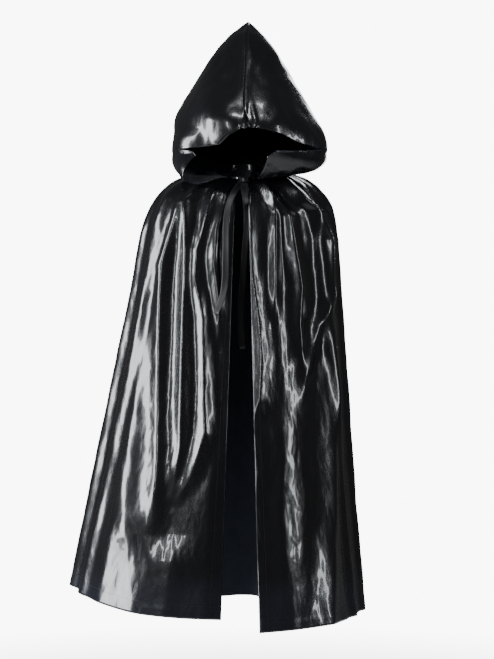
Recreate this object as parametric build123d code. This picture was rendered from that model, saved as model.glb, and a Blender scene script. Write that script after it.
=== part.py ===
from build123d import *
import math
import os

# Hooded cape with a ribbon tie, in millimetres.
# +Z is up and the front faces -Y. Right and left are the wearer's: right is -X.
# The origin is the centre of the neck ring, where the cape sits on the wearer's neck.

# Driving sizes of the cape
cloth = 1.2  # thickness of the coated cloth, with its turned edge
neck_width = 124.0  # across the neck ring
neck_depth = 140.0  # front to back of the neck ring
neck_back = -5.0  # the ring's centre stands this far in front of the origin
neck_tilt = 0.32  # rise of the ring per millimetre towards the back
yoke_drop = 140.0  # neck to the line where the shoulders end and the skirt begins
skirt_drop = 937.0  # yoke line to the hem at the right front corner
yoke_scale = 1.0  # shoulders' size, as a share of the drawn outline
hem_scale = 1.0  # hem's size, as a share of the drawn outline
side_reach = 88.0  # how far the gathered cloth stands out level from the neck at the sides
front_reach = 12.0  # the same at the front and the back
shoulder_puff = 4.0  # how far the gathers lift it there

# Driving sizes of the smaller pieces
band_height = 18.0
band_top = 6.0  # above the ring
band_wall = 2.0
seam_gap = 0.15  # between sewn pieces, for the thread and the glue
fold_gap = 4.0  # width of the fold between a front panel and its flap
facing_width = 45.0
hood_lift = 9.0  # hood's neck edge above the ring, clear of the band
hood_height = 381.0  # neck to the tip of the hood
seam_turn = 0.2  # degrees between the hood's halves and its middle, for the seam
hood_scale = 1.0  # hood's width, as a share of the drawn outline
ribbon_width = 15.0
ribbon_wall = 1.0
knot_size = (13.0, 10.0, 15.0)
label_size = (38.0, 0.8, 24.0)

# Stations round the cape, from the right front edge round the back to the left front edge:
# angle round the neck from the front, yoke outline (x, y), hem (x, y, height above the hem's level)
stations = (
    (12, (-23, -126), (-52, -250, 0)),
    (25, (-53, -130), (-165, -248, 5)),
    (40, (-87, -127), (-272, -218, 14)),  # right fold line
    (68, (-180, -95), (-372, -118, 32)),
    (95, (-246, -15), (-426, 25, 44)),
    (125, (-215, 85), (-355, 170, 25)),
    (152, (-110, 145), (-190, 250, -8)),
    (180, (0, 160), (-10, 270, -21)),
    (208, (105, 142), (140, 238, -21)),
    (235, (200, 80), (252, 150, -19)),
    (265, (229, -10), (294, 30, -17)),
    (292, (170, -90), (268, -110, -15)),
    (320, (80, -125), (208, -232, -13)),  # left fold line
    (335, (46, -128), (125, -285, -17)),
    (348, (14, -126), (37, -297, -23)),
)
right_fold = 2
right_side = 4.5
left_side = 9.5
left_fold = 12
last = len(stations) - 1

# Hood's sections from the neck up:
# height, rise per millimetre towards the back, middle x, half width, front y, back y
hood_sections = (
    (16, 0.30, 9, 118, -126, 74),
    (42, 0.12, 16, 190, -178, 92),
    (88, 0, 13, 180, -200, 108),
    (150, 0, 2, 161, -172, 115),
    (240, 0, 5, 114, -112, 95),
    (322, 0, 7, 65, -52, 62),
    (368, 0, 11, 21, -4, 38),
    (hood_height, 0, 11.5, 3.5, 8, 22),
)

# How far the cloth reaches round at the neck and at each section, where 180 is the centre front.
# It falls short round the face, which makes the opening, and the brim closes above it.
# The right lobe is cut further back than the left one.
right_edge = (149, 133, 131, 160, 180, 180, 180, 180, 180)
left_edge = (152, 142, 127, 166, 180, 180, 180, 180, 180)

# Ribbon's routes from the knot, by hand
knot_at = Vector(3, -96, -24)
long_route = (
    (3, -101, -34.5),
    (1.5, -101.5, -72),
    (4, -103, -116),
    (3.5, -103.5, -166),
    (1, -105, -220),
    (-2, -104.5, -275),
    (-6, -106, -330),
    (-6.5, -105.5, -385),
    (-2.5, -106.5, -438),
)
short_route = (
    (-10, -96, -33),
    (-25, -108, -57),
    (-37, -123.5, -90),
    (-42.5, -134, -132),
    (-42, -140.5, -180),
    (-43, -146, -230),
    (-43.5, -152.5, -278),
    (-51, -158, -320),
    (-66, -162.5, -352),
)
loop_route = (  # from the side: (y, z)
    (-104, -34.5),
    (-117, -47),
    (-125, -70),
    (-119, -88),
    (-109, -84),
    (-105, -62),
    (-102.5, -34.5),
)


def neck_point(angle, lift=0.0, out=0.0):
    """Point on the neck ring at an angle from the front, positive towards the right."""
    a = math.radians(angle)
    x = -(neck_width / 2 + out) * math.sin(a)
    y = -(neck_depth / 2 + out) * math.cos(a)
    return Vector(x, y + neck_back, neck_tilt * y + lift)


def through(points, place):
    """Point of a smooth curve that passes points[0] at place 0, points[1] at 1, and so on."""
    first = min(int(place), len(points) - 2)
    here, there = Vector(*points[first]), Vector(*points[first + 1])
    before = Vector(*points[first - 1]) if first else here * 2 - there
    more = first + 2 < len(points)
    after = Vector(*points[first + 2]) if more else there * 2 - here
    t = place - first
    return (
        here
        + (there - before) * (t / 2)
        + (before * 2 - here * 5 + there * 4 - after) * (t * t / 2)
        + (here * 3 - there * 3 + after - before) * (t**3 / 2)
    )


def bezier(a, b, c, d, t):
    s = 1 - t
    return a * s**3 + b * (3 * t * s * s) + c * (3 * t * t * s) + d * t**3


neck_angles = [(angle, 0, 0) for angle, _, _ in stations]
yoke_points = [
    (x * yoke_scale, y * yoke_scale, -yoke_drop) for _, (x, y), _ in stations
]
hem_points = [
    (x * hem_scale, y * hem_scale, z - yoke_drop - skirt_drop)
    for _, _, (x, y, z) in stations
]


def cape_point(station, fall):
    """Point on the inner face: fall 0 is the neck, 1 the yoke line and 2 the hem."""
    yoke = through(yoke_points, station)
    hem = through(hem_points, station)
    if fall >= 1:
        return yoke + (hem - yoke) * (fall - 1)
    angle = through(neck_angles, station).X
    neck = neck_point(angle, out=2 * seam_gap)
    sideways = math.sin(math.radians(angle)) ** 2
    reach = front_reach + (side_reach - front_reach) * sideways
    level = Vector(yoke.X - neck.X, yoke.Y - neck.Y, 0).normalized()
    out = neck + level * reach + Vector(0, 0, shoulder_puff * sideways)
    above = yoke - (hem - yoke).normalized() * (55 + 45 * sideways)
    return bezier(neck, out, above, yoke, fall)


def normal_of(surface, u, v):
    step = 1e-3
    along = surface(u + step, v) - surface(u - step, v)
    down = surface(u, v + step) - surface(u, v - step)
    return along.cross(down).normalized()


def steps(first, final, count):
    return [first + (final - first) * i / count for i in range(count + 1)]


def sheet(surface, us, vs, near, far):
    """Closed solid between two distances from a surface of two parameters."""
    skins = []
    for offset in (near, far):
        grid = [
            [surface(u, v) + normal_of(surface, u, v) * offset for v in vs] for u in us
        ]
        skins.append(Face.make_surface_from_array_of_points(grid, tol=1e-3))
    inner, outer = skins
    sides = []
    for edge in inner.edges():
        twin = min(outer.edges(), key=lambda e: (e.center() - edge.center()).length)
        sides.append(Face.make_surface_from_curves(edge, twin))
    return Solid(Shell([inner, outer, *sides]))


def cape_sheet(first, final, near=0.0, far=cloth):
    """Cloth of the cape from one station to another."""
    count = max(4, round((final - first) * 2))
    falls = steps(0, 1, 8) + steps(1, 2, 6)[1:]
    return sheet(cape_point, steps(first, final, count), falls, near, far)


def fold_ends(station):
    """Top and bottom of a fold line, on the outer face of the cloth."""
    ends = []
    for fall in (1, 2):
        ends.append(
            cape_point(station, fall) + normal_of(cape_point, station, fall) * cloth
        )
    return ends


def flap_block(station, shrink):
    """Region of a front panel that swings, as a block from front to back."""
    top, bottom = fold_ends(station)
    side = 1 if top.X < 0 else -1
    slope = (bottom.X - top.X) / (bottom.Z - top.Z)
    low = bottom.Z - 100
    corners = (
        (top.X + side * shrink, top.Z - shrink),
        (top.X + slope * (low - top.Z) + side * shrink, low),
        (side * 100, low),
        (side * 100, top.Z - shrink),
    )
    return front_block(corners)


def front_block(corners):
    """Block through the front of the cape, with the given outline from the front."""
    outline = make_face(Plane.XZ * Polyline(*corners, close=True))
    return extrude(outline, amount=500, dir=(0, -1, 0))


def only_solid(shape):
    return max(shape.solids(), key=lambda s: s.volume)


def front_panel(first, final, fold):
    """Fixed part and swinging part of one front, cut apart at the fold line."""
    whole = cape_sheet(first, final)
    fixed = only_solid(whole - flap_block(fold, 0))
    flap = only_solid(whole & flap_block(fold, fold_gap))
    return fixed, flap


def facing(first, final, edge):
    """Turned strip behind a front edge, inside the flap."""
    inside = cape_sheet(first, final, near=-cloth - seam_gap, far=-seam_gap)
    top = cape_point(edge, 1)
    bottom = cape_point(edge, 2)
    inward = facing_width if edge > first else -facing_width
    corners = (
        (top.X - inward, top.Z - fold_gap),
        (top.X + inward / 2, top.Z - fold_gap),
        (bottom.X + inward, bottom.Z - facing_width),
        (bottom.X - inward, bottom.Z - facing_width),
    )
    return only_solid(inside & front_block(corners))


def band_sheet(first, final, top, bottom, near, far):
    """Strip that follows the neck ring from one angle to another."""

    def ring(angle, drop):
        return neck_point(angle, lift=-drop)

    count = max(4, round((final - first) / 12))
    return sheet(ring, steps(first, final, count), steps(-top, -bottom, 3), near, far)


def neckband():
    """Band round the neck, open at the throat."""
    throat = stations[0][0]
    low = band_top - band_height
    return band_sheet(throat, 360 - throat, band_top, low, -band_wall, 0)


def care_label():
    """Blank label, sewn inside the band at the back of the neck."""
    wide, thick, tall = label_size
    half = math.degrees(wide / neck_width)
    top = band_top - band_height + 4
    near = -band_wall - seam_gap - thick
    return band_sheet(180 - half, 180 + half, top, top - tall, near, near + thick)


def hood_section(index, turn, side):
    """Point of one level of the hood: turn 0 is the centre back and 180 the front."""
    a = math.radians(turn)
    if index == 0:
        return neck_point(180 + side * turn, lift=hood_lift, out=1)
    z, lean, middle, half, front, back = hood_sections[index - 1]
    x = middle + side * half * hood_scale * math.sin(a)
    y = (front + back) / 2 + (back - front) / 2 * math.cos(a)
    return Vector(x, y, z + lean * y)


def hood_half(side):
    """One half of the hood, side -1 for the right and 1 for the left."""
    count = len(hood_sections)
    edges = [(turn, 0, 0) for turn in (right_edge if side < 0 else left_edge)]

    def surface(share, rise):
        reach = min(through(edges, rise).X, 180) - seam_turn
        turn = seam_turn + (reach - seam_turn) * share
        levels = [tuple(hood_section(i, turn, side)) for i in range(count + 1)]
        return through(levels, rise)

    shares = steps(0, 1, 18)[:: -side]
    return sheet(surface, shares, steps(0, count, count * 3), -cloth, 0)


def tie(angle):
    """Ribbon from one end of the band to the knot, narrowing into it."""
    start = neck_point(angle)
    side = 1 if start.X > 0 else -1
    end = knot_at + Vector(side * (knot_size[0] / 2 + seam_gap), 0, 0)
    upright = Vector(0, 0, 1)
    from_band = Plane(start, x_dir=upright, z_dir=end - start)
    to_knot = Plane(end, x_dir=upright, z_dir=(-side, 0, 0))
    wide = from_band * Rectangle(ribbon_width, ribbon_wall)
    tight = to_knot * Rectangle(ribbon_width * 0.6, ribbon_wall * 2)
    return loft([wide, tight])


def bow_knot():
    block = Box(*knot_size)
    return Pos(*knot_at) * fillet(block.edges(), radius=min(knot_size) * 0.35)


def bow_loop():
    """Loop of ribbon that hangs from the knot."""
    points = [(0, y, z) for y, z in loop_route]
    middle = knot_at.X + 1

    def surface(place, across):
        return through(points, place) + Vector(middle + across, 0, 0)

    half = ribbon_width / 2
    along = steps(0, len(points) - 1, (len(points) - 1) * 2)
    return sheet(surface, along, steps(-half, half, 3), 0, ribbon_wall)


def ribbon(route, name):
    """Flat tail along straight runs joined by arcs."""
    points = [Vector(*p) for p in route]
    radii = []
    for before, here, after in zip(points, points[1:], points[2:], strict=False):
        turn = math.radians((here - before).get_angle(after - here))
        run = min((here - before).length, (after - here).length)
        radii.append(0.45 * run / math.tan(turn / 2))
    path = FilletPolyline(*points, radius=radii)
    start = Plane(points[0], x_dir=(1, 0, 0), z_dir=points[1] - points[0])
    tail = sweep(start * Rectangle(ribbon_width, ribbon_wall), path=path)
    share = tail.volume / (ribbon_width * ribbon_wall * path.length)
    print(name, "length", round(path.length), "radii", [round(r) for r in radii])
    print(name, "volume over section times length", round(share, 3))
    return tail


def build():
    parts = {}
    parts["back_panel"] = cape_sheet(right_side, left_side)
    right = front_panel(0, right_side, right_fold)
    left = front_panel(left_side, last, left_fold)
    parts["right_front_panel"], parts["right_front_flap"] = right
    parts["left_front_panel"], parts["left_front_flap"] = left
    parts["right_front_facing"] = facing(0, right_side, 0)
    parts["left_front_facing"] = facing(left_side, last, last)
    parts["neckband"] = neckband()
    parts["care_label"] = care_label()
    parts["hood_right"] = hood_half(-1)
    parts["hood_left"] = hood_half(1)
    parts["right_tie"] = tie(stations[0][0] - 1)
    parts["left_tie"] = tie(stations[-1][0] + 1)
    parts["bow_knot"] = bow_knot()
    parts["bow_loop"] = bow_loop()
    parts["long_tail"] = ribbon(long_route, "long tail")
    parts["short_tail"] = ribbon(short_route, "short tail")
    return parts


def main():
    os.makedirs("parts", exist_ok=True)
    for name, shape in build().items():
        shape.label = name
        export_step(shape, f"parts/{name}.step")
    for name, station in (("right", right_fold), ("left", left_fold)):
        top, bottom = fold_ends(station)
        print(name, "fold line", tuple(top), tuple(bottom))


main()
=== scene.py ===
import math
import bpy
import numpy as np
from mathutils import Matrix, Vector, noise


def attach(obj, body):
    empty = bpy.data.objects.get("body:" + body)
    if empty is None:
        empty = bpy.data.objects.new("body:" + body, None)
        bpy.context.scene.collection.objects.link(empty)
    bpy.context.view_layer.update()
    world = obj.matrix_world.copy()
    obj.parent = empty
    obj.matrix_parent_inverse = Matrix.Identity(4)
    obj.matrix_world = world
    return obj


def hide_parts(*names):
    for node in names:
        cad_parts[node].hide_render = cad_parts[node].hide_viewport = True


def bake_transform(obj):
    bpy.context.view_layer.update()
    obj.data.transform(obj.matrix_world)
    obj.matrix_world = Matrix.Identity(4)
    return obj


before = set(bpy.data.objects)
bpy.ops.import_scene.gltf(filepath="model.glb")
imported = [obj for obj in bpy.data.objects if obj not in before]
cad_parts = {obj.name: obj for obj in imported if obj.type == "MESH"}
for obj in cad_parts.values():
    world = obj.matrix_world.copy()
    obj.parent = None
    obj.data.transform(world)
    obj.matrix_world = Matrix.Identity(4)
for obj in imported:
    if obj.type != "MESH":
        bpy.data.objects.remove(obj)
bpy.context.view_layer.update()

# Hooded cape in wet-look cloth. Right and left are the wearer's: right is -X, the front faces -Y.
# The cloth follows stations, numbered round the cape from the right front edge to the left one.
capeShape = {
    "neckWidth": 0.124, "neckDepth": 0.140, "neckBack": -0.005, "neckTilt": 0.32,
    "yoke": -0.140, "hem": -1.077, "sideReach": 0.088, "frontReach": 0.012, "puff": 0.004,
    "neckAngle": (12, 25, 40, 68, 95, 125, 152, 180, 208, 235, 265, 292, 320, 335, 348),
    "yokeOutline": (
        (-0.023, -0.126), (-0.053, -0.130), (-0.087, -0.127), (-0.180, -0.095), (-0.246, -0.015),
        (-0.215, 0.085), (-0.110, 0.145), (0, 0.160), (0.105, 0.142), (0.200, 0.080),
        (0.229, -0.010), (0.170, -0.090), (0.080, -0.125), (0.046, -0.128), (0.014, -0.126),
    ),
    "hemOutline": (
        (-0.052, -0.250, 0), (-0.165, -0.248, 0.005), (-0.272, -0.218, 0.014),
        (-0.372, -0.118, 0.032), (-0.426, 0.025, 0.044), (-0.355, 0.170, 0.025),
        (-0.190, 0.250, -0.008), (-0.010, 0.270, -0.021), (0.140, 0.238, -0.021),
        (0.252, 0.150, -0.019), (0.294, 0.030, -0.017), (0.268, -0.110, -0.015),
        (0.208, -0.232, -0.013), (0.125, -0.285, -0.017), (0.037, -0.297, -0.023),
    ),
    "rightSide": 4.5, "leftSide": 9.5, "last": 14.0,
}


def spline(points, place):
    # points at whole places, smooth between
    pts = np.asarray(points, float)
    pts = pts[:, None] if pts.ndim == 1 else pts
    padded = np.vstack([2 * pts[0] - pts[1], pts, 2 * pts[-1] - pts[-2]])
    place = np.asarray(place, float)
    first = np.clip(place.astype(int), 0, len(pts) - 2)
    t = (place - first)[..., None]
    a, b, c, d = (padded[first + k] for k in range(4))
    out = b + (c - a) * t / 2 + (2 * a - 5 * b + 4 * c - d) * t**2 / 2
    return out + (3 * b - 3 * c + d - a) * t**3 / 2


def unit(v):
    return v / np.maximum(np.linalg.norm(v, axis=-1, keepdims=True), 1e-9)


def neckRing(angle, lift=0.0, out=0.0):
    s = capeShape
    a = np.radians(angle)
    x = -(s["neckWidth"] / 2 + out) * np.sin(a)
    y = -(s["neckDepth"] / 2 + out) * np.cos(a)
    return np.stack([x, y + s["neckBack"], s["neckTilt"] * y + lift], -1)


def capeSurface(station, fall):
    # smooth cloth without folds: fall 0 is the neck, 1 the yoke line and 2 the hem
    s = capeShape
    yoke = spline([(x, y, s["yoke"]) for x, y in s["yokeOutline"]], station)
    hem = spline([(x, y, z + s["hem"]) for x, y, z in s["hemOutline"]], station)
    angle = spline(s["neckAngle"], station)[..., 0]
    neck = neckRing(angle, out=0.0004)
    sideways = (np.sin(np.radians(angle)) ** 2)[..., None]
    level = yoke - neck
    level[..., 2] = 0
    reach = s["frontReach"] + (s["sideReach"] - s["frontReach"]) * sideways
    out = neck + unit(level) * reach
    out[..., 2:] += s["puff"] * sideways
    above = yoke - unit(hem - yoke) * (0.055 + 0.045 * sideways)
    t = np.clip(fall, 0, 1)[..., None]
    u = 1 - t
    upper = neck * u**3 + out * (3 * t * u**2) + above * (3 * t**2 * u) + yoke * t**3
    return upper + (hem - yoke) * np.clip(fall - 1, 0, None)[..., None]


def gridNormals(p):
    return unit(np.cross(np.gradient(p, axis=0), np.gradient(p, axis=1)))


def noiseField(p, scale, seed, octaves=3):
    flat = (p * np.asarray(scale)).reshape(-1, 3) + seed
    return np.array([noise.fractal(Vector(q), 1.0, 2.0, octaves) for q in flat]).reshape(p.shape[:-1])


# Folds that hang down the fronts, seen from the front: points (x, z), height, half width
frontFolds = {
    "right": (
        ((
            (-0.170, -0.030), (-0.226, -0.156), (-0.257, -0.561), (-0.285, -0.770),
            (-0.272, -0.934),
        ), 0.013, 0.026),
        ((
            (-0.150, -0.060), (-0.197, -0.236), (-0.200, -0.465), (-0.203, -0.702),
            (-0.215, -0.86),
        ), 0.016, 0.014),
        ((
            (-0.100, -0.030), (-0.139, -0.081), (-0.141, -0.270), (-0.147, -0.559),
            (-0.150, -0.677), (-0.170, -0.790),
        ), 0.017, 0.013),
        ((
            (-0.070, -0.050), (-0.110, -0.197), (-0.114, -0.275), (-0.097, -0.362),
            (-0.094, -0.559), (-0.092, -0.638), (-0.124, -0.744), (-0.156, -0.795),
        ), 0.014, 0.011),
        ((
            (-0.040, -0.050), (-0.066, -0.150), (-0.070, -0.230), (-0.058, -0.330),
            (-0.060, -0.42),
        ), 0.010, 0.012),
        (((-0.060, -0.60), (-0.080, -0.80), (-0.095, -1.08)), 0.010, 0.030),
        (((-0.165, -0.90), (-0.180, -1.0), (-0.190, -1.08)), 0.010, 0.035),
        (((-0.300, -0.85), (-0.330, -0.98), (-0.345, -1.06)), 0.012, 0.030),
    ),
    "left": (
        ((
            (0.017, -0.05), (0.021, -0.248), (0.040, -0.381), (0.045, -0.458), (0.040, -0.559),
            (0.016, -0.640),
        ), 0.012, 0.012),
        (((0.020, -0.62), (0.036, -0.732), (0.022, -0.800), (0.045, -1.10)), 0.009, 0.014),
        ((
            (0.050, -0.035), (0.077, -0.074), (0.111, -0.113), (0.123, -0.190), (0.137, -0.285),
            (0.132, -0.381), (0.144, -0.510),
        ), 0.018, 0.012),
        (((0.060, -0.040), (0.079, -0.110), (0.078, -0.250), (0.074, -0.36)), 0.010, 0.008),
        ((
            (0.100, -0.020), (0.157, -0.084), (0.183, -0.101), (0.210, -0.171), (0.214, -0.304),
            (0.220, -0.561), (0.214, -0.80), (0.205, -1.09),
        ), 0.020, 0.014),
        (((0.214, -0.30), (0.180, -0.40), (0.150, -0.50), (0.142, -0.56)), 0.012, 0.010),
        (((0.100, -0.60), (0.090, -0.80), (0.088, -1.10)), 0.010, 0.035),
    ),
}


def foldHeight(p, folds):
    total = np.zeros(p.shape[:-1])
    for points, height, half in folds:
        xs, zs = np.array(points).T
        way = np.interp(-p[..., 2], -zs, xs)
        ends = np.clip((zs[0] + 0.02 - p[..., 2]) / 0.06, 0, 1)
        if zs[-1] >= -1.0:
            ends = ends * np.clip((p[..., 2] - zs[-1] + 0.02) / 0.10, 0, 1)
        wide = half * (1.0 + 0.5 * np.clip(-p[..., 2], 0, 1))
        away = np.abs(p[..., 0] - way) / wide
        total += 0.62 * height * ends * (1.25 * np.exp(-away**1.5) - 0.25 * np.exp(-((away - 2.2) ** 2)))
    return total


def flutes(station, fall, first, final):
    # hanging folds of the sides and back, and the gathers at the neck
    hang = np.clip(fall - 0.25, 0, None) / 1.75
    wave = np.sin(2 * math.pi * (1.05 * station + 0.35 * np.sin(1.7 * station)))
    wave += 0.45 * np.sin(2 * math.pi * (2.1 * station + 0.3 * np.sin(2.3 * station + 1)) + 1.3)
    keep = np.clip((station - first) / 0.6, 0, 1) * np.clip((final - station) / 0.6, 0, 1)
    front = np.clip(1 - np.abs(station - 7) / 4.2, 0.0, 1) ** 0.7
    deep = wave * (0.002 + 0.015 * hang**0.8) * keep * (0.10 + 0.90 * front)
    pleat = np.abs(np.sin(math.pi * (5.5 * station + 0.6 * np.sin(3.1 * station)))) - 0.6
    return deep + 0.0022 * pleat * np.exp(-((fall - 0.12) / 0.28) ** 2)


def crumple(p, strength=1.0):
    # creases that coated cloth keeps, longer than wide
    broad = noiseField(p, (10, 10, 4), 3.0)
    ridged = np.abs(noiseField(p, (34, 34, 13), 11.0)) - 0.25
    fine = np.abs(noiseField(p, (95, 95, 60), 23.0, 2)) - 0.2
    return strength * (0.0030 * broad - 0.0010 * ridged - 0.00025 * fine)


def declareSheet(p):
    # works out only the cloth's area, which is not used; no width, length or sheet is recorded
    area = gridArea(p)


def clearActive():
    bpy.ops.object.select_all(action="DESELECT")


def applyModifiers(obj):
    clearActive()
    obj.select_set(True)
    bpy.context.view_layer.objects.active = obj
    for m in list(obj.modifiers):
        bpy.ops.object.modifier_apply(modifier=m.name)


def clothPiece(name, p, thick, outside, inside, flip=False):
    # closed cloth from a grid of points on its outer face
    n, m = p.shape[:2]
    ids = np.arange(n * m).reshape(n, m)
    quads = np.stack([ids[:-1, :-1], ids[1:, :-1], ids[1:, 1:], ids[:-1, 1:]], -1).reshape(-1, 4)
    if flip:
        quads = quads[:, ::-1]
    mesh = bpy.data.meshes.new(name)
    mesh.from_pydata(p.reshape(-1, 3).tolist(), [], quads.tolist())
    mesh.materials.append(outside)
    mesh.materials.append(inside)
    obj = bpy.data.objects.new(name, mesh)
    bpy.context.collection.objects.link(obj)
    mesh.polygons.foreach_set("use_smooth", [True] * len(mesh.polygons))
    shell = obj.modifiers.new("thickness", "SOLIDIFY")
    shell.thickness = thick
    shell.offset = -1
    shell.material_offset = 1
    shell.material_offset_rim = 0
    applyModifiers(obj)
    return obj


def gridArea(p):
    a = np.cross(p[1:, :-1] - p[:-1, :-1], p[:-1, 1:] - p[:-1, :-1])
    return float(np.linalg.norm(a, axis=-1).sum())


# Shader maths
class Value:
    def __init__(self, tree, socket):
        self.tree, self.socket = tree, socket

    def math(self, operation, other=None, swap=False):
        pair = [self, other][:: -1 if swap else 1]
        return self.tree.node("ShaderNodeMath", {"operation": operation}, dict(enumerate(pair)))

    def __add__(self, other):
        return self.math("ADD", other)

    def __radd__(self, other):
        return self.math("ADD", other, True)

    def __sub__(self, other):
        return self.math("SUBTRACT", other)

    def __rsub__(self, other):
        return self.math("SUBTRACT", other, True)

    def __mul__(self, other):
        return self.math("MULTIPLY", other)

    def __rmul__(self, other):
        return self.math("MULTIPLY", other, True)

    def __truediv__(self, other):
        return self.math("DIVIDE", other)

    def __pow__(self, other):
        return self.math("POWER", other)


class Finish:
    # a material and the nodes added to it

    def __init__(self, name, **fixed):
        self.material = bpy.data.materials.new(name)
        self.material.use_nodes = True
        self.nodes = self.material.node_tree.nodes
        self.shader = self.nodes["Principled BSDF"]
        for key, value in fixed.items():
            self.shader.inputs[key.replace("_", " ")].default_value = value
        self.place = self.node("ShaderNodeTexCoord", {}, {}, "Object")

    def link(self, value, socket):
        if isinstance(value, Value):
            self.material.node_tree.links.new(value.socket, socket)
        elif value is not None:
            socket.default_value = value

    def node(self, kind, settings, inputs, output=0):
        node = self.nodes.new(kind)
        for key, value in settings.items():
            setattr(node, key, value)
        for key, value in inputs.items():
            self.link(value, node.inputs[key])
        return Value(self, node.outputs[output])

    def stretched(self, scale):
        return self.node("ShaderNodeMapping", {}, {"Vector": self.place, "Scale": scale})

    def noise(self, scale, detail=4.0, stretch=(1, 1, 1), rough=0.55, twist=0.0):
        inputs = {"Vector": self.stretched(stretch), "Scale": scale, "Detail": detail}
        inputs |= {"Roughness": rough, "Distortion": twist}
        return self.node("ShaderNodeTexNoise", {}, inputs, 0)

    def mixColour(self, share, one, two):
        node = self.nodes.new("ShaderNodeMix")
        node.data_type = "RGBA"
        self.link(share, node.inputs[0])
        self.link(one, node.inputs[6])
        self.link(two, node.inputs[7])
        return Value(self, node.outputs[2])

    def bump(self, height, strength, distance):
        inputs = {"Strength": strength, "Distance": distance, "Height": height}
        self.link(self.node("ShaderNodeBump", {}, inputs), self.shader.inputs["Normal"])

    def give(self, **values):
        for key, value in values.items():
            self.link(value, self.shader.inputs[key.replace("_", " ")])


def makeGlossCloth():
    f = Finish("wetLookCoating", Specular_IOR_Level=0.5, Coat_Roughness=0.07, Coat_IOR=1.45)
    broad = f.noise(7.0, 3.0, (1, 1, 0.4))
    crease = f.noise(46.0, 6.0, (1.0, 1.0, 0.35), 0.62, 0.8)
    wrinkle = f.noise(160.0, 5.0, (1.0, 1.0, 0.6), 0.6, 0.5)
    grain = f.noise(900.0, 2.0)
    sharp = f.node("ShaderNodeMath", {"operation": "ABSOLUTE"}, {0: crease - 0.5})
    fold = f.node("ShaderNodeMath", {"operation": "ABSOLUTE"}, {0: wrinkle - 0.5})
    f.bump((0.5 - sharp) * 0.6 + (0.5 - fold) * 0.22 + grain * 0.02, 0.30, 0.004)
    f.give(Roughness=0.16 + broad * 0.16 + fold * 0.2, Coat_Weight=0.45 + broad * 0.3)
    height = f.node("ShaderNodeSeparateXYZ", {}, {0: f.place}, 2)
    hemTone = f.node("ShaderNodeMapRange", {}, {0: height, 1: -0.97, 2: -1.02, 3: 0.0, 4: 0.8})
    tone = f.mixColour(broad, (0.0035, 0.0035, 0.0045, 1), (0.008, 0.008, 0.010, 1))
    f.give(Base_Color=f.mixColour(hemTone, tone, (0.011, 0.012, 0.018, 1)))
    return f.material


def makeMattBack():
    f = Finish("knittedBack", Roughness=0.85, Specular_IOR_Level=0.2, Sheen_Weight=0.15)
    knit = f.noise(1400.0, 1.0, (1, 1, 2.5))
    cloudy = f.noise(9.0, 4.0)
    tone = f.mixColour(cloudy, (0.010, 0.012, 0.020, 1), (0.018, 0.021, 0.034, 1))
    f.give(Base_Color=f.mixColour(knit * 0.4, tone, (0.026, 0.030, 0.045, 1)), Roughness=0.75 + knit * 0.2)
    f.bump(knit + f.noise(60.0, 3.0) * 1.5, 0.35, 0.0012)
    return f.material


def makeSatin():
    f = Finish("satinRibbon", Specular_IOR_Level=0.5, Sheen_Weight=0.2)
    ribs = f.noise(700.0, 1.0, (0.2, 0.2, 3.0))
    cloudy = f.noise(40.0, 3.0)
    f.give(Base_Color=f.mixColour(cloudy, (0.006, 0.006, 0.007, 1), (0.014, 0.014, 0.016, 1)))
    f.give(Roughness=0.30 + ribs * 0.18)
    f.bump(ribs * 0.6 + cloudy * 0.5, 0.3, 0.0008)
    return f.material


def makeThread():
    f = Finish("blackThread", Roughness=0.5)
    ply = f.noise(1500.0, 2.0)
    f.give(Base_Color=f.mixColour(ply, (0.006, 0.006, 0.007, 1), (0.03, 0.03, 0.033, 1)))
    f.bump(ply, 0.4, 0.0004)
    return f.material


def makeLabel():
    f = Finish("wovenLabel", Roughness=0.7)
    weave = f.noise(1800.0, 1.0, (1, 1, 0.2))
    f.give(Base_Color=f.mixColour(weave, (0.05, 0.05, 0.055, 1), (0.10, 0.10, 0.105, 1)))
    f.bump(weave, 0.3, 0.0005)
    return f.material


def makeFloor():
    f = Finish("paleFloor", Roughness=0.9, Specular_IOR_Level=0.1)
    across = f.node("ShaderNodeVectorMath", {"operation": "LENGTH"}, {0: f.place}, 1)
    f.give(Alpha=f.node("ShaderNodeMapRange", {}, {0: across, 1: 0.8, 2: 2.2, 3: 1.0, 4: 0.0}))
    f.give(Base_Color=f.mixColour(f.noise(2.0, 2.0), (0.86, 0.86, 0.86, 1), (0.90, 0.90, 0.90, 1)))
    return f.material


gloss, matt, satin = makeGlossCloth(), makeMattBack(), makeSatin()
thread, labelCloth, floorTone = makeThread(), makeLabel(), makeFloor()
print("materials made")


# Camera and studio
studio = {"cameraAway": 4.4, "cameraX": 0.009, "cameraZ": -0.391, "lens": 96.1, "floorZ": -1.5}


def softbox(name, place, aim, size, power):
    light = bpy.data.lights.new(name, "AREA")
    light.shape, light.size, light.size_y, light.energy = "RECTANGLE", size[0], size[1], power
    light.color = (0.92, 0.96, 1.0)
    obj = bpy.data.objects.new(name, light)
    bpy.context.collection.objects.link(obj)
    obj.location = place
    obj.rotation_euler = (Vector(aim) - Vector(place)).to_track_quat("-Z", "Y").to_euler()


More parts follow.
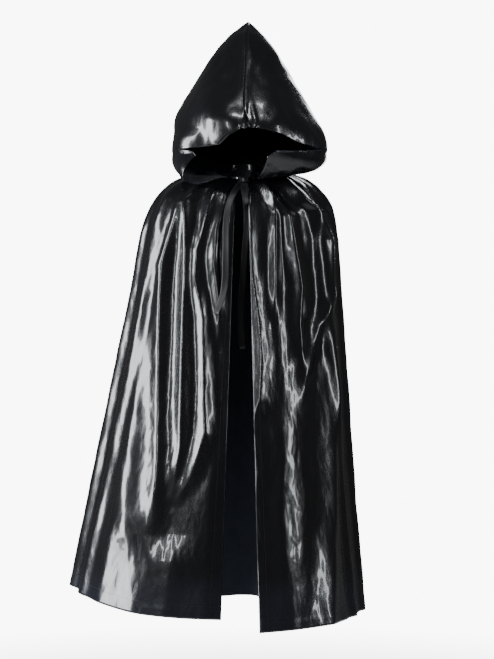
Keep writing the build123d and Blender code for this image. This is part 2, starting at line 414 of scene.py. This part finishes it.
def makeStudio():
    s = studio
    camera = bpy.data.objects.new("camera", bpy.data.cameras.new("camera"))
    bpy.context.collection.objects.link(camera)
    camera.location = (s["cameraX"], -s["cameraAway"], s["cameraZ"])
    camera.rotation_euler = (math.pi / 2, 0, 0)
    camera.data.sensor_fit, camera.data.sensor_height = "VERTICAL", 36
    camera.data.lens = s["lens"]
    bpy.context.scene.camera = camera
    softbox("leftBox", (-2.6, -0.75, -0.1), (0, 0, -0.45), (0.9, 2.0), 120)
    softbox("frontStrip", (-1.7, -2.7, 0.6), (0, 0, -0.4), (0.16, 1.2), 20)
    softbox("rightStrip", (2.3, -1.7, 0.3), (0, 0, -0.3), (0.22, 1.4), 20)
    softbox("topBox", (0.1, -1.4, 2.4), (0, 0, 0.1), (0.9, 0.5), 30)
    softbox("backBox", (1.0, 3.2, 0.8), (0, 0, -0.4), (1.2, 2.2), 50)
    clearActive()
    bpy.ops.mesh.primitive_circle_add(
        vertices=96, radius=3, fill_type="NGON", location=(0, 0, s["floorZ"]))
    floor = bpy.context.object
    floor.name = "floor"
    floor.data.materials.append(floorTone)
    world = bpy.data.worlds.new("softRoom")
    bpy.context.scene.world = world
    world.use_nodes = True
    tree = world.node_tree
    back = tree.nodes["Background"]
    seen = tree.nodes.new("ShaderNodeBackground")
    rays, mix = tree.nodes.new("ShaderNodeLightPath"), tree.nodes.new("ShaderNodeMixShader")
    back.inputs[0].default_value, back.inputs[1].default_value = (1, 1, 1, 1), 0.07
    seen.inputs[0].default_value, seen.inputs[1].default_value = (1, 1, 1, 1), 9.0
    tree.links.new(rays.outputs["Is Camera Ray"], mix.inputs[0])
    tree.links.new(back.outputs[0], mix.inputs[1])
    tree.links.new(seen.outputs[0], mix.inputs[2])
    tree.links.new(mix.outputs[0], tree.nodes["World Output"].inputs[0])


makeStudio()
print("studio made")


# Cape
clothThick = 0.0008
frontSize = {"columns": 150, "rows": 250}


def capeGrid(first, final, columns, rows, side):
    upper = rows // 4
    falls = np.concatenate([np.linspace(0, 1, upper, endpoint=False), np.linspace(1, 2, rows - upper)])
    stations, fall = np.meshgrid(np.linspace(first, final, columns), falls, indexing="ij")
    p = capeSurface(stations, fall)
    out = gridNormals(p)
    moved = flutes(stations, fall, 2.6, 11.6)
    near = np.clip(fall / 0.3, 0, 1)
    if side:
        facing = np.clip(-out[..., 1] * 2.2, 0, 1)
        moved = moved + foldHeight(p, frontFolds[side]) * facing * near
    moved = moved + crumple(p) * np.clip(fall / 0.15, 0, 1)
    for seam in (capeShape["rightSide"], capeShape["leftSide"]):
        if abs(final - seam) < 1e-6 or abs(first - seam) < 1e-6:
            moved = moved - 0.0016 * np.exp(-((stations - seam) / 0.035) ** 2)
    moved = moved + 0.0005 * np.clip((fall - 1.975) / 0.003, 0, 1)
    return p + out * (moved + 0.0006)[..., None]


def makeFront(side, first, final, fold):
    n = frontSize
    p = capeGrid(first, final, n["columns"], n["rows"], side)
    piece = clothPiece(f"{side}Front", p, clothThick, gloss, matt)
    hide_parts(f"{side}_front_panel", f"{side}_front_flap")
    top, bottom = np.array(fold[0]), np.array(fold[1])
    edge = p[0, -1] if side == "right" else p[-1, -1]
    tuple(blendEnd(top, bottom, edge))
    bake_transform(piece)
    declareSheet(p)
    return p


def blendEnd(top, bottom, edge):
    along = (bottom - top) / np.linalg.norm(bottom - top)
    away = edge - top
    away = away - along * float(away @ along)
    return top + away * 0.75


foldLines = {
    "right": ((-0.0873, -0.1281, -0.1398), (-0.2726, -0.2190, -1.0628)),
    "left": ((0.0803, -0.1261, -0.1398), (0.2089, -0.2327, -1.0898)),
}
rightGrid = makeFront("right", 0.0, capeShape["rightSide"], foldLines["right"])
leftGrid = makeFront("left", capeShape["leftSide"], capeShape["last"], foldLines["left"])
print("fronts made")

backGrid = capeGrid(capeShape["rightSide"], capeShape["leftSide"], 150, 220, "")
backPanel = clothPiece("backPanel", backGrid, clothThick, gloss, matt)
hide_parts("back_panel")
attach(backPanel, "cape")
declareSheet(backGrid)
print("back made")


def makeFacing(side, grid):
    # turned strip behind a front edge, on the inner face
    kept = slice(0, 14) if side == "right" else slice(-18, None)
    p = grid[kept, 66:] - gridNormals(grid)[kept, 66:] * (clothThick + 0.0004)
    piece = clothPiece(f"{side}Facing", p, 0.0006, gloss, gloss)
    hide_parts(f"{side}_front_facing")
    top, bottom = (np.array(q) for q in foldLines[side])
    edge = grid[0, -1] if side == "right" else grid[-1, -1]
    tuple(blendEnd(top, bottom, edge))
    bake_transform(piece)
    declareSheet(p)


makeFacing("right", rightGrid)
makeFacing("left", leftGrid)
print("facings made")


# Hood
hoodShape = {
    # height, rise towards the back, middle x, half width, front y, back y
    "sections": (
        (0.016, 0.30, 0.009, 0.118, -0.126, 0.074), (0.042, 0.12, 0.016, 0.190, -0.178, 0.092),
        (0.088, 0, 0.013, 0.180, -0.200, 0.108), (0.150, 0, 0.002, 0.161, -0.172, 0.115),
        (0.240, 0, 0.005, 0.114, -0.112, 0.095), (0.322, 0, 0.007, 0.065, -0.052, 0.062),
        (0.368, 0, 0.011, 0.021, -0.004, 0.038), (0.381, 0, 0.0115, 0.0015, 0.012, 0.018),
    ),
    # the front edge, going up: rise, how far round the cloth reaches (180 is the centre front)
    "rightEdge": ((0, 152), (0.6, 124), (1.0, 114), (1.6, 126), (2.1, 138), (2.28, 134), (2.36, 119),
                  (2.46, 157), (2.80, 165), (3.0, 174), (3.06, 180), (8, 180)),
    "leftEdge": ((0, 152), (0.4, 158), (1.0, 166), (2.0, 167), (2.26, 160), (2.34, 103),
                 (2.42, 125), (2.60, 142), (2.85, 153), (3.0, 168), (3.06, 180), (8, 180)),
    # the lobes that hang to the shoulders: how far round, how wide in degrees, and which way they sag
    "rightLobe": ((90, 34, (-0.034, -0.012, -0.012)), (126, 24, (-0.020, -0.058, -0.028))),
    "leftLobe": ((92, 40, (0.040, -0.016, -0.012)),),
    "pleat": 0.006,
    "columns": 110, "creases": 0.9,
}


def hoodSurface(share, rise, side):
    s = hoodShape
    reach = np.interp(rise, *np.array(s["rightEdge" if side < 0 else "leftEdge"]).T)
    turn = reach * share
    a = np.radians(turn)
    levels = [neckRing(180 + side * turn, lift=0.002, out=0.001)]
    for z, lean, middle, half, front, back in s["sections"]:
        x = middle + side * half * np.sin(a)
        y = (front + back) / 2 + (back - front) / 2 * np.cos(a)
        levels.append(np.stack([x, y, z + lean * y], -1))
    first = np.clip(rise.astype(int), 0, len(levels) - 2)
    t = (rise - first)[..., None]
    stack = np.stack([2 * levels[0] - levels[1], *levels, 2 * levels[-1] - levels[-2]])
    pick = np.indices(rise.shape)
    a, b, c, d = (stack[first + k, pick[0], pick[1]] for k in range(4))
    out = b + (c - a) * t / 2 + (2 * a - 5 * b + 4 * c - d) * t**2 / 2
    out = out + (3 * b - 3 * c + d - a) * t**3 / 2
    for middle, wide, sag in s["rightLobe" if side < 0 else "leftLobe"]:
        share = np.exp(-(((turn - middle) / wide) ** 2)) * np.sin(math.pi * np.clip(rise / 2.2, 0, 1)) ** 1.5
        out = out + share[..., None] * np.array(sag)
    return out, turn


def makeHoodHalf(name, node, side):
    s = hoodShape
    rises = np.concatenate([np.linspace(0, 2, 34, endpoint=False), np.linspace(2, 3.2, 70, endpoint=False),
                            np.linspace(3.2, len(s["sections"]), 66)])
    shares = np.linspace(0, 1, s["columns"])
    share, rise = np.meshgrid(shares, rises, indexing="ij")
    p, turn = hoodSurface(share, rise, side)
    if side > 0:
        p, turn, rise = p[::-1], turn[::-1], rise[::-1]
    out = gridNormals(p)
    seam = np.minimum(turn, 180 - turn) / 9
    ridge = 0.0035 * np.exp(-(seam**2)) * np.clip((rise - 2.5) / 1, 0, 1)
    keep = np.clip(1 - np.exp(-(seam**2) * 3), 0, 1)
    keep = keep * np.clip(rise / 0.6, 0, 1) * np.clip((8 - rise) / 2, 0, 1)
    wave = np.sin(math.radians(1) * turn * 5 + rise * 1.7)
    drape = 0.006 * noiseField(p, (9, 9, 7), 31.0)
    drape = drape + 0.007 * wave * np.exp(-((rise - 2.6) / 1.6) ** 2)
    low = np.clip((0.17 - p[..., 2]) / 0.075, 0, 1)
    away = np.abs(p[..., 0] - 0.013) - 0.003 - 0.013 * low
    lips = np.exp(-((away / 0.004) ** 2)) - 0.8 * np.exp(-(((away + 0.006) / 0.005) ** 2))
    pleat = s["pleat"] * lips * low * (turn > 90) * (rise > 2.6)
    move = ridge + pleat + (crumple(p, s["creases"]) + drape) * keep
    p = p + out * move[..., None]
    piece = clothPiece(name, p, clothThick, gloss, matt)
    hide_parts(node)
    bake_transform(piece)
    declareSheet(p)
    return p


hoodRightGrid = makeHoodHalf("hoodRight", "hood_right", -1)
hoodLeftGrid = makeHoodHalf("hoodLeft", "hood_left", 1)
print("hood made")


# Ribbon
ribbonShape = {
    "width": 0.015, "thick": 0.0005,
    "long": (
        (0.003, -0.101, -0.0335), (0.004, -0.104, -0.060), (0.0085, -0.1115, -0.095),
        (0.0095, -0.116, -0.130),
        (0.006, -0.114, -0.170), (0.002, -0.110, -0.220), (-0.002, -0.108, -0.275), (-0.007, -0.108, -0.330),
        (-0.0065, -0.107, -0.385), (-0.002, -0.1065, -0.438),
    ),
    "short": (
        (-0.006, -0.098, -0.033), (-0.025, -0.113, -0.057), (-0.037, -0.130, -0.090),
        (-0.0425, -0.143, -0.132), (-0.042, -0.152, -0.180), (-0.043, -0.158, -0.230),
        (-0.0435, -0.162, -0.278), (-0.051, -0.168, -0.320),
        (-0.066, -0.172, -0.352),
    ),
    "loop": (
        (0.003, -0.102, -0.0345), (-0.001, -0.116, -0.045), (0.004, -0.124, -0.068), (0.011, -0.120, -0.088),
        (0.013, -0.112, -0.083), (0.010, -0.109, -0.062), (0.004, -0.1035, -0.035),
    ),
}


def routeLine(name, points):
    # points along the smooth curve of a route
    data = bpy.data.curves.new(name, "CURVE")
    data.dimensions = "3D"
    data.resolution_u = 12
    line = data.splines.new("NURBS")
    line.points.add(len(points) - 1)
    for point, place in zip(line.points, points, strict=True):
        point.co = (*place, 1)
    line.order_u = 3
    line.use_endpoint_u = True
    obj = bpy.data.objects.new(name, data)
    bpy.context.collection.objects.link(obj)
    mesh = bpy.data.meshes.new_from_object(obj)
    line = np.array([v.co for v in mesh.vertices])
    bpy.data.objects.remove(obj)
    bpy.data.meshes.remove(mesh)
    return line


def stripAlong(name, line, turns):
    # flat ribbon along a line; turns gives the way that its width lies, in degrees from X
    s = ribbonShape
    along = unit(np.gradient(line, axis=0))
    share = np.linspace(0, 1, len(line))
    angle = np.radians(np.interp(share, np.linspace(0, 1, len(turns)), turns))
    side = np.stack([np.cos(angle), np.sin(angle), 0 * angle], -1)
    side = unit(side - along * (side * along).sum(-1, keepdims=True))
    face = np.cross(side, along)
    across = np.linspace(-1, 1, 9)
    bow = (1 - across**2) * 0.0006
    p = line[:, None] + side[:, None] * across[None, :, None] * s["width"] / 2
    p = p + face[:, None] * bow[None, :, None]
    return clothPiece(name, p, s["thick"], satin, satin)


def makeRibbons():
    s = ribbonShape
    for key, turns in (("long", (20, 5, -8, 10, 25, 0)), ("short", (10, -5, -10, 0, -25))):
        line = routeLine(f"{key}Route", s[key])
        piece = stripAlong(f"{key}Tail", line, turns)
        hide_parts(f"{key}_tail")
        if key == "long":
            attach(piece, "ribbon_ends")
        else:
            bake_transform(piece)
    line = routeLine("loopRoute", s["loop"])
    piece = stripAlong("bowLoop", line, (35, 35, 30, 25, 30, 35))
    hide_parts("bow_loop")
    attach(piece, "ribbon_ends")


makeRibbons()


def makeKnot():
    # a tied knot: one rounded core with diagonal waves pressed into it where the ribbon would wind
    clearActive()
    bpy.ops.mesh.primitive_uv_sphere_add(segments=48, ring_count=32, radius=1, location=(0, 0, 0))
    knot = bpy.context.object
    knot.name = "bowKnot"
    p = np.array([v.co for v in knot.data.vertices])
    wind = np.sin(5 * (p[:, 2] + 0.5 * p[:, 0]) + 1.0)
    p = p * (0.90 + 0.10 * wind * (1 - p[:, 2] ** 4))[:, None] * (0.0068, 0.0056, 0.0078)
    knot.data.vertices.foreach_set("co", (p + (0.003, -0.0965, -0.024)).ravel())
    bpy.ops.object.shade_smooth()
    knot.data.materials.append(satin)
    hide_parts("bow_knot")
    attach(knot, "cape")


makeKnot()
stitchShape = {"long": 0.0028, "pitch": 0.0040, "half": 0.00028, "proud": 0.00022}


def stitchRow(name, line, out):
    # one mesh of short stitches laid on a line of points, out being the cloth's normals
    s = stitchShape
    way = np.r_[0, np.cumsum(np.linalg.norm(np.diff(line, axis=0), axis=1))]
    starts = np.arange(0.004, way[-1] - 0.005, s["pitch"])
    corners = []
    for at in (starts, starts + s["long"]):
        centre = np.stack([np.interp(at, way, line[:, k]) for k in range(3)], -1)
        normal = unit(np.stack([np.interp(at, way, out[:, k]) for k in range(3)], -1))
        along = unit(np.gradient(centre, axis=0))
        side = unit(np.cross(along, normal))
        for a, b in ((-1, -0.5), (1, -0.5), (0.7, 1), (-0.7, 1)):
            corners.append(centre + side * a * s["half"] + normal * b * s["proud"])
    p = np.stack(corners, 1).reshape(-1, 3)
    quads = []
    for k in range(len(starts)):
        n = 8 * k
        quads += [(n + 3, n + 2, n + 1, n), (n + 4, n + 5, n + 6, n + 7)]
        quads += [(n + e, n + (e + 1) % 4, n + 4 + (e + 1) % 4, n + 4 + e) for e in range(4)]
    mesh = bpy.data.meshes.new(name)
    mesh.from_pydata(p.tolist(), [], quads)
    mesh.materials.append(thread)
    obj = bpy.data.objects.new(name, mesh)
    bpy.context.collection.objects.link(obj)
    clearActive()
    obj.select_set(True)
    bpy.context.view_layer.objects.active = obj
    bpy.ops.object.mode_set(mode="EDIT")
    bpy.ops.mesh.select_all(action="SELECT")
    bpy.ops.mesh.normals_make_consistent(inside=False)
    bpy.ops.object.mode_set(mode="OBJECT")
    return obj


def stitchCloth():
    for side, grid, inset in (("right", rightGrid, 8), ("left", leftGrid, -9)):
        out = gridNormals(grid)
        top, bottom = (np.array(q) for q in foldLines[side])
        edge = grid[0, -1] if side == "right" else grid[-1, -1]
        end = blendEnd(top, bottom, edge)
        for name, line, face in (("Hem", grid[:, -7], out[:, -7]), ("Edge", grid[inset], out[inset])):
            row = stitchRow(f"{side}{name}Stitches", line, face)
            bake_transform(row)
    out = gridNormals(backGrid)
    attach(stitchRow("backHemStitches", backGrid[:, -7], out[:, -7]), "cape")
    for name, grid, at in (("right", hoodRightGrid, -4), ("left", hoodLeftGrid, 3)):
        out = gridNormals(grid)
        row = stitchRow(f"{name}BrimStitches", grid[at], out[at])
        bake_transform(row)


stitchCloth()
print("stitches made")


def dressNodes():
    # CAD nodes that stay, with their materials
    for node, material in (
        ("neckband", gloss), ("care_label", labelCloth), ("right_tie", satin), ("left_tie", satin),
    ):
        obj = bpy.data.objects[node]
        obj.data.materials.clear()
        obj.data.materials.append(material)


dressNodes()
print("ribbons made")
